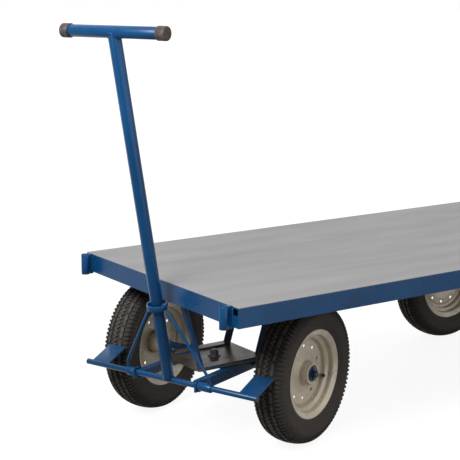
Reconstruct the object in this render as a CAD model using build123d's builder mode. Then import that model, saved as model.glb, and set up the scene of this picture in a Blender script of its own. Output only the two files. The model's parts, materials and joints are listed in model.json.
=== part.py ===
from build123d import *
import os
from math import atan2, cos, hypot, radians, sin, sqrt

# Platform trolley: a flat deck on four pneumatic wheels. The front pair turns on a bogie under
# a king bolt, and the T-handle tips on the bogie's crossbar: upright, its two brake plates
# press on the front tyres. Millimetres and degrees, +X forward, +Y left, +Z up. The origin is
# the middle of the whole trolley on the floor.

# ---- driving dimensions -------------------------------------------------------------------

# deck
deck_length = 1650.0
deck_width = 800.0
deck_top = 472.5
sheet_thickness = 2.0
beam_depth = 53.0
beam_flange = 25.0
beam_wall = 4.0
cross_size = 40.0
cross_wall = 3.0
deck_front = 191.5            # from the king bolt forward to the deck's front edge
socket_length = 60.0
socket_radius = 12.0
socket_bore = 10.0
socket_y = 368.0
socket_top = 474.0
socket_standoff = 11.0        # between the beam's face and the socket
socket_spacer = 12.0          # width of the bar that fills it
end_tab_height = 28.0         # the tab that half closes a side beam's end
end_tab_thickness = 3.0

# turntable and straps
strap_width = 30.0
strap_thickness = 5.0
strap_y = 80.0
rear_strap_y = 265.0
strap_bottom_half = 100.0
strap_splay = 0.3             # outward lean of a strap's leg, per unit of height
plate_length = 230.0
plate_width = 196.0
plate_thickness = 5.0
plate_top = 218.0
plate_corner = 8.0
king_radius = 8.0
king_nut_width = 22.0         # across flats
king_nut_height = 13.0
king_nut_turn = 15.0
king_bolt_end = 3.0           # past the nut
king_head_height = 10.0
king_washer_radius = 18.5
king_washer_thickness = 3.0

# bogie
steer_rest = 20.6             # the bogie stands turned this far to the left
trail = 62.0                  # front axle behind the king bolt
front_half_track = 261.4
member_height = 30.0
member_top = 210.0
member_flange = 20.0
member_wall = 4.0
member_faces = {"left": 95.0, "right": 112.0}     # outer faces, from the bogie's centre line
member_tail = 25.0            # past the axle
member_gap = 2.0              # behind the crossbar
bogie_plate_thickness = 6.0
bogie_plate_back = 45.0
bogie_plate_front = 60.0
thrust_radius = 55.0
thrust_thickness = 2.7
bracket_thickness = 6.0       # the bearing plate on each member's outer face
bracket_length = 34.0
bracket_front = 13.0          # past the crossbar's axis
bracket_bottom = 186.0
bracket_top = 215.0
bracket_corner = 5.0

# handle
pivot_x = 211.0               # crossbar ahead of the king bolt
pivot_z = 202.0
crossbar_radius = 8.0
crossbar_half = 292.6
handle_lean = 12.3
handle_length = 969.6
handle_radius = 16.85
handle_wall = 2.6
tee_radius = 15.75
tee_half = 167.0              # to the caps' ends
cap_radius = 18.25
cap_length = 26.0
cap_end = 3.0
cap_edge = 3.0
ring_height = 223.0           # up the handle from the crossbar
ring_radius = 29.0
ring_wall = 4.5
ring_band = 15.0
ring_lug = 6.0                # width of the two lugs that hold it to the handle
rod_radius = 4.25
rod_foot_y = 139.0
rod_knee = 32.0               # height at which a rod turns down onto its sleeve
rod_bend = 14.0
sleeve_radius = 12.0
sleeve_outer_y = 144.0
tube_foot = 6.5               # the handle tube's lower end, above the crossbar's axis
brake_places = {"left": 264.0, "right": -244.0}   # middles of the two plates
brake_width = 58.0
brake_thickness = 5.0
brake_slope = 21.0
brake_gap = 0.8               # left between the brake plate and the tyre

# wheels and axles
tyre_radius = 200.0
rear_axle_back = 1228.0       # rear axle behind the king bolt
rear_half_track = 352.0
axle_radius = 10.0
axle_overhang = 45.6          # axle end outside the wheel's centre plane
axle_chamfer = 1.5
hub_radius = 30.0
hub_bore = 21.0
hub_half = 31.0
bearing_length = 20.0
rim_wall = 2.5
valve_radius = 4.0
valve_length = 50.0
valve_foot = 115.0            # radius at which it leaves the inner tube's middle
valve_tilt = 58.8             # leaning outboard, from the axle's direction
valve_hole_radius = 5.2
front_turns = {"left": 160.5, "right": 171.5}     # where each wheel has stopped
rear_turn = 60.0
washer_radius = 22.0
washer_thickness = 3.0
collar_radius = 16.0
collar_length = 12.0
pin_radius = 2.0
pin_half = 17.0
disc_hole_circle = 75.5
disc_hole_radius = 4.5
disc_holes = 10

# wheel sections, as (radius, distance outboard) of one side; an arc is three points
tyre_arcs = (((tyre_radius, 0.0), (198.4, 20.0), (193.0, 37.5)),
             ((193.0, 37.5), (190.5, 40.5), (186.0, 42.0)),
             ((186.0, 42.0), (156.0, 45.5), (127.0, 38.5)))
bead_line = ((127.0, 38.5), (124.3, 35.8), (118.0, 33.4), (112.3, 30.0), (112.3, 19.0),
             (120.0, 24.0))
lining_arcs = (((120.0, 24.0), (150.0, 37.0), (182.0, 30.0)),
               ((182.0, 30.0), (188.3, 16.0), (190.0, 0.0)))
tube_mid_radius = 151.0
tube_height = 37.5
tube_half_width = 33.0
tube_wall = 2.5
rim_line = ((124.5, 36.5), (118.0, 34.0), (112.0, 30.5), (111.5, 17.0), (99.5, 11.0))
disc_line = ((98.0, 0.0), (62.0, 0.0), (37.0, 6.0))
disc_collar = (9.0, 23.0)     # the stretch of the hub that the disc's collar grips

# fits
running = 0.05                # radial clearance of a turning fit
seated = 0.1                  # gap beside a fixed piece
side_gap = 0.3                # gap between faces that turn past each other

# ---- places worked out from them ----------------------------------------------------------

yaw = radians(steer_rest)
lean = radians(handle_lean)
tee_x = pivot_x + handle_length * sin(lean)
tee_reach = (tee_x + cap_radius - cap_edge) * cos(yaw) + (tee_half - cap_edge) * sin(yaw) + cap_edge
socket_out = deck_length / 2 + socket_standoff + socket_radius
rear_reach = deck_length / 2 - deck_front + socket_out + socket_radius
king_x = (rear_reach - tee_reach) / 2
deck_mid_x = king_x + deck_front - deck_length / 2
beam_top = deck_top - sheet_thickness
beam_mid_z = beam_top - beam_depth / 2
axle_z = tyre_radius
rear_axle_x = king_x - rear_axle_back

bogie = Location((king_x, 0, 0), (0, 0, steer_rest))
handle = bogie * Location((pivot_x, 0, pivot_z), (0, handle_lean, 0))

os.makedirs("parts", exist_ok=True)


def save(piece, name):
    """Label a finished piece and write it as its own STEP file."""
    piece.part.label = name
    export_step(piece.part, f"parts/{name}.step")


def on(frame, plane):
    """A plane given in a body's own axes, placed in the trolley's frame."""
    return Plane(frame * plane.location)


def cross_plane(frame, y):
    """The upright plane y to the left of a frame's middle, with its X forward and Y up."""
    return on(frame, Plane.XZ.offset(-y))


def bar_along(frame, name, radius, half, x=0.0, z=0.0, bore=0.0):
    """A round bar or tube across a frame, from -half to +half."""
    with BuildPart() as bar:
        with BuildSketch(cross_plane(frame, 0)):
            with Locations((x, z)):
                Circle(radius)
                if bore:
                    Circle(bore, mode=Mode.SUBTRACT)
        extrude(amount=half, both=True)
    save(bar, name)


# ---- deck ---------------------------------------------------------------------------------

with BuildPart() as deck_sheet:
    with BuildSketch(Plane.XY.offset(beam_top)):
        with Locations((deck_mid_x, 0)):
            Rectangle(deck_length, deck_width)
    extrude(amount=sheet_thickness)
save(deck_sheet, "deck_sheet")


def channel_beam(name, plane, length, tabs=False):
    """A channel whose web stands on the plane's Y axis, with its flanges towards +X."""
    with BuildPart() as beam:
        with BuildSketch(plane):
            Rectangle(beam_flange, beam_depth, align=(Align.MIN, Align.CENTER))
            with Locations((beam_wall, 0)):
                Rectangle(beam_flange, beam_depth - 2 * beam_wall,
                          align=(Align.MIN, Align.CENTER), mode=Mode.SUBTRACT)
        extrude(amount=length / 2, both=True)
        if tabs:
            for end in (-length / 2, length / 2 - end_tab_thickness):
                with BuildSketch(plane.offset(end)):
                    with Locations((beam_wall, beam_wall - beam_depth / 2)):
                        Rectangle(beam_flange - beam_wall, end_tab_height, align=(Align.MIN, Align.MIN))
                extrude(amount=end_tab_thickness)
    save(beam, name)


for name, end in (("front_beam", 1), ("rear_beam", -1)):
    web = Vector(deck_mid_x + end * deck_length / 2, 0, beam_mid_z)
    channel_beam(name, Plane(web, x_dir=(-end, 0, 0), z_dir=(0, end, 0)),
                 deck_width - 2 * beam_flange)
for name, side in (("side_beam_left", 1), ("side_beam_right", -1)):
    web = Vector(deck_mid_x, side * deck_width / 2, beam_mid_z)
    channel_beam(name, Plane(web, x_dir=(0, -side, 0), z_dir=(-side, 0, 0)), deck_length,
                 tabs=True)

strap_top = beam_top - cross_size
cross_offset = deck_front - beam_flange - cross_size / 2
cross_mid_x = king_x - rear_axle_back / 2
cross_places = [king_x + cross_offset, king_x - cross_offset, cross_mid_x,
                rear_axle_x + cross_offset, rear_axle_x - cross_offset]
with BuildPart() as cross_members:
    for x in cross_places:
        with BuildSketch(Plane.XZ):
            with Locations((x, beam_top - cross_size / 2)):
                Rectangle(cross_size, cross_size)
                Rectangle(cross_size - 2 * cross_wall, cross_size - 2 * cross_wall,
                          mode=Mode.SUBTRACT)
        extrude(amount=deck_width / 2 - beam_flange, both=True)
save(cross_members, "cross_members")

socket_places = [(deck_mid_x + end * socket_out, side * socket_y)
                 for end in (1, -1) for side in (1, -1)]
with BuildPart() as stake_sockets:
    with BuildSketch(Plane.XY.offset(socket_top - socket_length)):
        with Locations(*socket_places):
            Circle(socket_radius)
        for x, y in socket_places:
            inner = deck_length / 2 + running
            with Locations((deck_mid_x + (inner if x > deck_mid_x else -inner), y)):
                Rectangle(socket_out - inner, socket_spacer,
                          align=(Align.MIN if x > deck_mid_x else Align.MAX, Align.CENTER))
        with Locations(*socket_places):
            Circle(socket_bore, mode=Mode.SUBTRACT)
    extrude(amount=socket_length)
save(stake_sockets, "stake_sockets")


# ---- straps that carry the turntable and the rear axle -------------------------------------

def strap(name, x, y, bottom):
    """A flat bar bent to a trapezium: level at the bottom, its legs splayed up to the deck."""
    top_half = strap_bottom_half + strap_splay * (strap_top - bottom)
    with BuildPart() as bar:
        with BuildSketch(cross_plane(Location((x, 0, 0)), y)):
            with BuildLine():
                Polyline((-top_half, strap_top), (-strap_bottom_half, bottom),
                         (strap_bottom_half, bottom), (top_half, strap_top))
                offset(amount=strap_thickness, side=Side.LEFT)
            make_face()
        extrude(amount=strap_width / 2, both=True)
        with BuildSketch(Plane.XY.offset(strap_top)):
            with Locations((x, y)):
                Rectangle(3 * top_half, 2 * strap_width)
        extrude(amount=strap_thickness, mode=Mode.SUBTRACT)
    save(bar, name)


for side_name, side in (("left", 1), ("right", -1)):
    strap(f"support_strap_{side_name}", king_x, side * strap_y, plate_top)
    strap(f"rear_strap_{side_name}", rear_axle_x, side * rear_strap_y, axle_z + axle_radius + seated)

with BuildPart() as turntable_plate:
    with BuildSketch(Plane.XY.offset(plate_top - plate_thickness)):
        with Locations((king_x, 0)):
            RectangleRounded(plate_length, plate_width, plate_corner)
            Circle(king_radius + seated, mode=Mode.SUBTRACT)
    extrude(amount=plate_thickness)
save(turntable_plate, "turntable_plate")


# ---- king bolt ----------------------------------------------------------------------------

bogie_plate_bottom = member_top - bogie_plate_thickness
nut_bottom = plate_top + king_washer_thickness
with BuildPart() as king_bolt:
    head_top = bogie_plate_bottom - side_gap
    with BuildSketch(Plane.XY.offset(head_top - king_head_height)):
        with Locations((king_x, 0)):
            RegularPolygon(king_nut_width / 2, 6, major_radius=False)
    extrude(amount=king_head_height)
    with BuildSketch(Plane.XY.offset(head_top)):
        with Locations((king_x, 0)):
            Circle(king_radius)
    extrude(amount=nut_bottom + king_nut_height + king_bolt_end - head_top)
save(king_bolt, "king_bolt")

with BuildPart() as king_washer:
    with BuildSketch(Plane.XY.offset(plate_top)):
        with Locations((king_x, 0)):
            Circle(king_washer_radius)
            Circle(king_radius + seated, mode=Mode.SUBTRACT)
    extrude(amount=king_washer_thickness)
save(king_washer, "king_washer")

with BuildPart() as king_nut:
    with BuildSketch(Plane.XY.offset(nut_bottom)):
        with Locations(Location((king_x, 0), king_nut_turn)):
            RegularPolygon(king_nut_width / 2, 6, major_radius=False)
            Circle(king_radius + seated, mode=Mode.SUBTRACT)
    extrude(amount=king_nut_height)
save(king_nut, "king_nut")


# ---- bogie --------------------------------------------------------------------------------

with BuildPart() as bogie_plate:
    with BuildSketch(on(bogie, Plane.XY.offset(bogie_plate_bottom))):
        with Locations((-bogie_plate_back, member_flange - member_faces["right"])):
            Rectangle(bogie_plate_front + bogie_plate_back,
                      sum(member_faces.values()) - 2 * member_flange,
                      align=(Align.MIN, Align.MIN))
        Circle(king_radius + running, mode=Mode.SUBTRACT)
    extrude(amount=bogie_plate_thickness)
save(bogie_plate, "bogie_plate")

with BuildPart() as thrust_disc:
    with BuildSketch(on(bogie, Plane.XY.offset(member_top))):
        Circle(thrust_radius)
        Circle(king_radius + 2 * side_gap, mode=Mode.SUBTRACT)
    extrude(amount=thrust_thickness)
save(thrust_disc, "thrust_disc")

for side_name, side in (("left", 1), ("right", -1)):
    member_face = member_faces[side_name]
    inward = Align.MAX if side > 0 else Align.MIN
    tail_x = -trail - member_tail
    bracket_mid_x = pivot_x + bracket_front - bracket_length / 2
    with BuildPart() as bogie_member:
        with BuildSketch(on(bogie, Plane.YZ.offset(tail_x))):
            with Locations((side * member_face, member_top)):
                Rectangle(member_wall, member_height, align=(inward, Align.MAX))
                Rectangle(member_flange, member_wall, align=(inward, Align.MAX))
        extrude(amount=pivot_x - crossbar_radius - member_gap - tail_x)
        with BuildSketch(cross_plane(bogie, 0)):
            with Locations((-trail, axle_z)):
                Circle(axle_radius + seated)
        extrude(amount=front_half_track, both=True, mode=Mode.SUBTRACT)
    save(bogie_member, f"bogie_member_{side_name}")

    with BuildPart() as pivot_bracket:
        with BuildSketch(cross_plane(bogie, side * (member_face + bracket_thickness / 2))):
            with Locations((bracket_mid_x, (bracket_bottom + bracket_top) / 2)):
                RectangleRounded(bracket_length, bracket_top - bracket_bottom, bracket_corner)
                Rectangle(bracket_length, (bracket_top - bracket_bottom) / 2,
                          align=(Align.CENTER, Align.MAX))
            with Locations((pivot_x, pivot_z)):
                Circle(crossbar_radius + running, mode=Mode.SUBTRACT)
        extrude(amount=bracket_thickness / 2, both=True)
    save(pivot_bracket, f"pivot_bracket_{side_name}")


# ---- axles --------------------------------------------------------------------------------

def axle_set(end, frame, x, half_track):
    """An axle with its washers, collars and split pins, across a frame."""
    axle_half = half_track + axle_overhang
    pin_y = half_track + hub_half + side_gap + washer_thickness + 2 * pin_radius
    washer_y = hub_half + side_gap + washer_thickness / 2
    collar_y = hub_half + side_gap + washer_thickness + collar_length / 2

    with BuildPart() as axle:
        with BuildSketch(cross_plane(frame, 0)):
            with Locations((x, axle_z)):
                Circle(axle_radius)
        extrude(amount=axle_half, both=True)
        chamfer(axle.edges().filter_by(GeomType.CIRCLE), axle_chamfer)
        with BuildSketch(on(frame, Plane.XY.offset(axle_z))):
            with Locations((x, pin_y), (x, -pin_y)):
                Circle(pin_radius + seated)
        extrude(amount=2 * axle_radius, both=True, mode=Mode.SUBTRACT)
    save(axle, f"{end}_axle")

    with BuildPart() as pins:
        with BuildSketch(on(frame, Plane.XY.offset(axle_z))):
            with Locations((x, pin_y), (x, -pin_y)):
                Circle(pin_radius)
        extrude(amount=pin_half, both=True)
    save(pins, f"{end}_axle_pins")

    with BuildPart() as washers:
        for y in (half_track + washer_y, half_track - washer_y):
            for side in (1, -1):
                with BuildSketch(cross_plane(frame, side * y)):
                    with Locations((x, axle_z)):
                        Circle(washer_radius)
                        Circle(axle_radius + seated, mode=Mode.SUBTRACT)
                extrude(amount=washer_thickness / 2, both=True)
    save(washers, f"{end}_axle_washers")

    with BuildPart() as collars:
        for side in (1, -1):
            with BuildSketch(cross_plane(frame, side * (half_track - collar_y))):
                with Locations((x, axle_z)):
                    Circle(collar_radius)
                    Circle(axle_radius + seated, mode=Mode.SUBTRACT)
            extrude(amount=collar_length / 2, both=True)
    save(collars, f"{end}_axle_collars")


axle_set("front", bogie, -trail, front_half_track)
axle_set("rear", Location((0, 0, 0)), rear_axle_x, rear_half_track)


# ---- handle -------------------------------------------------------------------------------

bar_along(handle, "crossbar", crossbar_radius, crossbar_half)
bar_along(handle, "tee_grip", tee_radius, tee_half - cap_end - seated, z=handle_length,
          bore=tee_radius - handle_wall)

with BuildPart() as handle_tube:
    with BuildSketch(on(handle, Plane.XY.offset(tube_foot))):
        Circle(handle_radius)
        Circle(handle_radius - handle_wall, mode=Mode.SUBTRACT)
    extrude(amount=handle_length - tube_foot)
    with BuildSketch(cross_plane(handle, 0)):
        Circle(crossbar_radius + seated)
        with Locations((0, handle_length)):
            Circle(tee_radius + seated)
    extrude(amount=2 * handle_radius, both=True, mode=Mode.SUBTRACT)
save(handle_tube, "handle_tube")

with BuildPart() as end_caps:
    for side in (1, -1):
        with BuildSketch(cross_plane(handle, side * (tee_half - cap_length / 2))):
            with Locations((0, handle_length)):
                Circle(cap_radius)
        extrude(amount=cap_length / 2, both=True)
    across = Axis(handle.position, Plane(handle).y_dir)
    rims = end_caps.edges().filter_by(GeomType.CIRCLE).sort_by(across)
    fillet([rims[0], rims[-1]], cap_edge)
    with BuildSketch(cross_plane(handle, 0)):
        with Locations((0, handle_length)):
            Circle(tee_radius + seated)
    extrude(amount=tee_half - cap_end, both=True, mode=Mode.SUBTRACT)
save(end_caps, "end_caps")

# The brace's rods stand on a sleeve fixed round the crossbar outside each bearing plate.
for side_name, side in (("left", 1), ("right", -1)):
    sleeve_inner_y = member_faces[side_name] + bracket_thickness + side_gap
    with BuildPart() as pivot_sleeve:
        with BuildSketch(cross_plane(handle, side * (sleeve_inner_y + sleeve_outer_y) / 2)):
            Circle(sleeve_radius)
            Circle(crossbar_radius + seated, mode=Mode.SUBTRACT)
        extrude(amount=(sleeve_outer_y - sleeve_inner_y) / 2, both=True)
    save(pivot_sleeve, f"pivot_sleeve_{side_name}")

with BuildPart() as brace_ring:
    with BuildSketch(on(handle, Plane.XY.offset(ring_height))):
        Circle(ring_radius)
        Circle(ring_radius - ring_wall, mode=Mode.SUBTRACT)
        lug = ring_radius - ring_wall / 2
        for side in (1, -1):
            with Locations((0, side * lug)):
                Rectangle(ring_lug, lug - handle_radius + ring_wall, align=(
                    Align.CENTER, Align.MAX if side > 0 else Align.MIN))
        Circle(handle_radius + seated, mode=Mode.SUBTRACT)
    extrude(amount=ring_band / 2, both=True)
save(brace_ring, "brace_ring")

with BuildPart() as brace_rods:
    ring_bottom = ring_height - ring_band / 2
    rod_top_y = ring_radius - ring_wall / 2
    rod_lean = atan2(rod_foot_y - rod_top_y, ring_bottom - rod_knee)
    start = (rod_top_y - rod_radius * sin(rod_lean), ring_bottom + rod_radius * cos(rod_lean))
    for side in (1, -1):
        with BuildLine(on(handle, Plane.YZ)) as rod_line:
            FilletPolyline((side * start[0], start[1]), (side * rod_foot_y, rod_knee),
                           (side * rod_foot_y, 0.0), radius=rod_bend)
        with BuildSketch(Plane(origin=rod_line.line @ 0, z_dir=rod_line.line % 0)):
            Circle(rod_radius)
        sweep(path=rod_line.line)
    with BuildSketch(cross_plane(handle, 0)):
        Circle(sleeve_radius + seated)
        with Locations((0, ring_bottom - seated)):
            Rectangle(ring_radius, ring_band, align=(Align.CENTER, Align.MIN))
    extrude(amount=crossbar_half, both=True, mode=Mode.SUBTRACT)
save(brace_rods, "brace_rods")

# A brake plate leaves the crossbar flush with its top and slopes up to the tyre. Its length is
# where its lower corner comes within brake_gap of the tyre.
slope = radians(brake_slope)
brake_rise = crossbar_radius - brake_thickness / 2
corner_lift = brake_rise - brake_thickness / 2
start_x = pivot_x + trail + corner_lift * sin(slope)
start_z = pivot_z - axle_z + corner_lift * cos(slope)
towards_axle = start_x * cos(slope) - start_z * sin(slope)
clear_radius = tyre_radius + brake_gap
brake_length = towards_axle - sqrt(towards_axle ** 2 - hypot(start_x, start_z) ** 2
                                   + clear_radius ** 2)
for side_name, brake_y in brake_places.items():
    with BuildPart() as brake_plate:
        with BuildSketch(cross_plane(bogie, brake_y)):
            with Locations(Location((pivot_x, pivot_z), -brake_slope)):
                with Locations((0, brake_rise)):
                    Rectangle(brake_length, brake_thickness, align=(Align.MAX, Align.CENTER))
            with Locations((pivot_x, pivot_z)):
                Circle(crossbar_radius + seated, mode=Mode.SUBTRACT)
        extrude(amount=brake_width / 2, both=True)
    save(brake_plate, f"brake_plate_{side_name}")


# ---- wheels -------------------------------------------------------------------------------

def wheel_set(name, place):
    """A pneumatic wheel; place is at its centre, with Z outboard along the axle."""
    section = Plane(place * Plane.XZ.location)     # X is the radius, Y is outboard
    collar = hub_radius + seated + rim_wall
    centre = Plane(place)
    axis = Axis(centre.origin, centre.z_dir)
    valve = Plane(place * Location((valve_foot, 0, 0), (0, -valve_tilt, 0)))

    with BuildPart() as tyre:
        with BuildSketch(section):
            with BuildLine():
                for arc in tyre_arcs + lining_arcs:
                    ThreePointArc(*arc)
                Polyline(*bead_line)
                mirror(about=Plane.XZ)
            make_face()
        revolve(axis=axis)
    save(tyre, f"{name}_tyre")

    with BuildPart() as inner_tube:
        with BuildSketch(section):
            with Locations((tube_mid_radius, 0)):
                Ellipse(tube_height, tube_half_width)
                Ellipse(tube_height - tube_wall, tube_half_width - tube_wall,
                        mode=Mode.SUBTRACT)
        revolve(axis=axis)
        with BuildSketch(valve):
            Circle(valve_radius)
        extrude(amount=valve_length)
    save(inner_tube, f"{name}_inner_tube")

    with BuildPart() as rim:
        with BuildSketch(section):
            with BuildLine():
                Polyline(*rim_line, *[(radius, -out) for radius, out in reversed(rim_line)])
                offset(amount=rim_wall, side=Side.RIGHT)
            make_face()
            with BuildLine():
                Polyline(*disc_line, *[(collar, out) for out in disc_collar])
                offset(amount=rim_wall, side=Side.LEFT)
            make_face()
        revolve(axis=axis)
        with BuildSketch(Plane(place)):
            with PolarLocations(disc_hole_circle, disc_holes):
                Circle(disc_hole_radius)
        extrude(amount=3 * rim_wall, both=True, mode=Mode.SUBTRACT)
        with BuildSketch(valve):
            Circle(valve_hole_radius)
        extrude(amount=valve_length, mode=Mode.SUBTRACT)
    save(rim, f"{name}_rim")

    with BuildPart() as hub:
        with BuildSketch(Plane(place)):
            Circle(hub_radius)
            Circle(hub_bore, mode=Mode.SUBTRACT)
        extrude(amount=hub_half, both=True)
    save(hub, f"{name}_hub")

    with BuildPart() as bearings:
        for start in (-hub_half, hub_half - bearing_length):
            with BuildSketch(Plane(place).offset(start)):
                Circle(hub_bore - seated)
                Circle(axle_radius + running, mode=Mode.SUBTRACT)
            extrude(amount=bearing_length)
    save(bearings, f"{name}_bearings")


for side_name, side in (("left", 1), ("right", -1)):
    upright = (-90 * side, 0, 0)
    front = bogie * Location((-trail, side * front_half_track, axle_z), upright)
    rear = Location((rear_axle_x, side * rear_half_track, axle_z), upright)
    wheel_set(f"front_{side_name}", front * Location((0, 0, 0), (0, 0, front_turns[side_name])))
    wheel_set(f"rear_{side_name}", rear * Location((0, 0, 0), (0, 0, rear_turn)))
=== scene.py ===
"""The platform trolley's looks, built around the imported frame: treaded tyres, pressed rims,
valves, split pins, the king nut, welds, and a procedural material for every piece.

The frame is in metres, with +X forward, +Y left and +Z up. Lengths that end up in a Sheet are in
millimetres, in the axes of the place it is made at.
"""

import json
from math import atan2, cos, hypot, pi, radians, sin, sqrt, tau

import bpy
from mathutils import Matrix, Vector, noise


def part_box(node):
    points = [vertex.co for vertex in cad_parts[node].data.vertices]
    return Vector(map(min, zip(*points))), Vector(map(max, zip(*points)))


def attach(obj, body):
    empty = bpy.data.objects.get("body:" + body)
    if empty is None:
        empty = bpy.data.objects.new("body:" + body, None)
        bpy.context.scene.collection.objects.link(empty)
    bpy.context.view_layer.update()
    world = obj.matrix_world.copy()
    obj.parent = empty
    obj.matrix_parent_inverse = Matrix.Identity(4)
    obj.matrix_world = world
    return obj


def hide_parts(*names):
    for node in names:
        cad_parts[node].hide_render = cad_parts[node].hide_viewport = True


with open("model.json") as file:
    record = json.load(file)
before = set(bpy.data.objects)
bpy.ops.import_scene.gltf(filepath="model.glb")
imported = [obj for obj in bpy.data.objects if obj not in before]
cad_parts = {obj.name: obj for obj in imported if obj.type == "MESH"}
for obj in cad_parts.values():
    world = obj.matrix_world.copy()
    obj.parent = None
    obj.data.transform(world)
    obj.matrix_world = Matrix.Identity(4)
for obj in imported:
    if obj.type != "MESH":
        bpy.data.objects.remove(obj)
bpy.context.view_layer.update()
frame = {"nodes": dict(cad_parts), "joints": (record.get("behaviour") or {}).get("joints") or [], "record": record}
nodes = frame["nodes"]
joints = {joint["name"]: joint for joint in frame["joints"]}
MM = 0.001
UP = Vector((0, 0, 1))

# ---- the frame's own axes ------------------------------------------------------------------


def axes(origin, ahead, up):
    """A matrix at origin with X ahead and Z up."""
    up = up.normalized()
    side = up.cross(ahead).normalized()
    ahead = side.cross(up)
    matrix = Matrix((ahead, side, up)).transposed().to_4x4()
    matrix.translation = origin
    return matrix


def middle(node):
    """The centre of a CAD node's box."""
    low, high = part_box(node)
    return (low + high) / 2


swivel = Vector(joints["steer_swivel"]["pos_m"])
pivot = Vector(joints["handle_pivot"]["pos_m"])
bogie_left = Vector(joints["handle_pivot"]["axis"])
bogie_ahead = bogie_left.cross(UP)
tee_centre = middle("tee_grip")
handle_up = (tee_centre - pivot).normalized()

BOGIE = axes(Vector((swivel.x, swivel.y, 0)), bogie_ahead, UP)
HANDLE = axes(pivot, bogie_left.cross(handle_up), handle_up)
CHASSIS = Matrix.Identity(4)

# How far each wheel is turned from having its valve straight ahead, in degrees.
TURNS = {"front_left": 160.5, "front_right": 171.5, "rear_left": 60, "rear_right": 60}
WHEELS = {}                   # for each wheel: its place unturned, and turned
for name, turn in TURNS.items():
    joint = joints[f"{name}_spin"]
    ahead = bogie_ahead if name.startswith("front") else Vector((1, 0, 0))
    outboard = Vector(joint["axis"]) * (1 if name.endswith("left") else -1)
    upright = axes(Vector(joint["pos_m"]), ahead, outboard)
    WHEELS[name] = upright, upright @ Matrix.Rotation(radians(turn), 4, "Z")

# ---- sizes taken over from the CAD model, in millimetres ------------------------------------

crossbar_radius = 8.0
handle_radius = 16.85
handle_length = (tee_centre - pivot).length / MM
tee_radius = 15.75
ring_height = 223.0
ring_radius = 29.0
ring_wall = 4.5
ring_band = 15.0
ring_lug = 6.0                # width of the lugs that hold the ring to the handle
ring_lug_run = (17.4, 22.5)   # their ends, from the handle's axis
rod_radius = 4.25
rod_foot_y = 139.0
sleeve_radius = 12.0
sleeve_end = 144.0
brake_places = (264.0, -244.0)           # their middles, along the crossbar
brake_width = 58.0
brake_slope = 21.0
member_faces = {1: 95.0, -1: 112.0}      # outer faces, left and right of the bogie's middle
member_front = 190.0
member_wall = 4.0
bearing_run = (187.0, 205.0)  # heights of the weld at a bearing plate
trail = 62.0                  # the front axle, behind the king bolt
pivot_x = 211.0               # the crossbar, ahead of the king bolt
pivot_z = 202.0
axle_radius = 10.0
axle_z = 200.0
socket_radius = 12.0
socket_spacer = 12.0
pin_from_wheel = 38.3         # from a wheel's middle out to its split pin
king_radius = 8.0
king_nut_width = 22.0
plate_top = 218.0             # the turntable plate's, where the support straps' feet lie
strap_width = 30.0
strap_y = 80.0
strap_bare_below = 225.0      # the paint has rubbed off the straps' feet
strap_foot_starts = (-92.0, 22.0)        # the feet's welds, from the king bolt
strap_foot_length = 60.0
rear_strap_y = 265.0
rear_weld_half = 13.0         # half the length of the weld at a rear strap's foot
rear_weld_off = 5.2           # how far it lies from the axle's middle

# ---- mesh helpers --------------------------------------------------------------------------


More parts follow.
